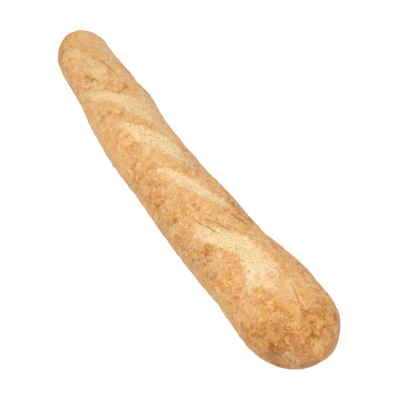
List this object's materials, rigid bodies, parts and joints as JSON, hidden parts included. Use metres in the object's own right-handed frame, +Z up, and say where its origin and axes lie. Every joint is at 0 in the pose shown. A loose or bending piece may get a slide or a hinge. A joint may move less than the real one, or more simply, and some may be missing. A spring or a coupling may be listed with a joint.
{
  "type": "baguette",
  "caption": "Long slender wheat loaf with a golden scored crust, rounded ends and a flat sole, lying at rest.",
  "frame": {"origin": "on the flat sole, at the middle of the loaf's length, where the straight long axis crosses it", "axes": "+X along the loaf towards its fat end, +Y to its left side, +Z up out of the crown"},
  "size_m": [0.56, 0.0896, 0.0533],
  "materials": {
    "crust": "matte"
  },
  "bodies": {
    "root": {"loaf": "crust"}
  },
  "joints": []
}
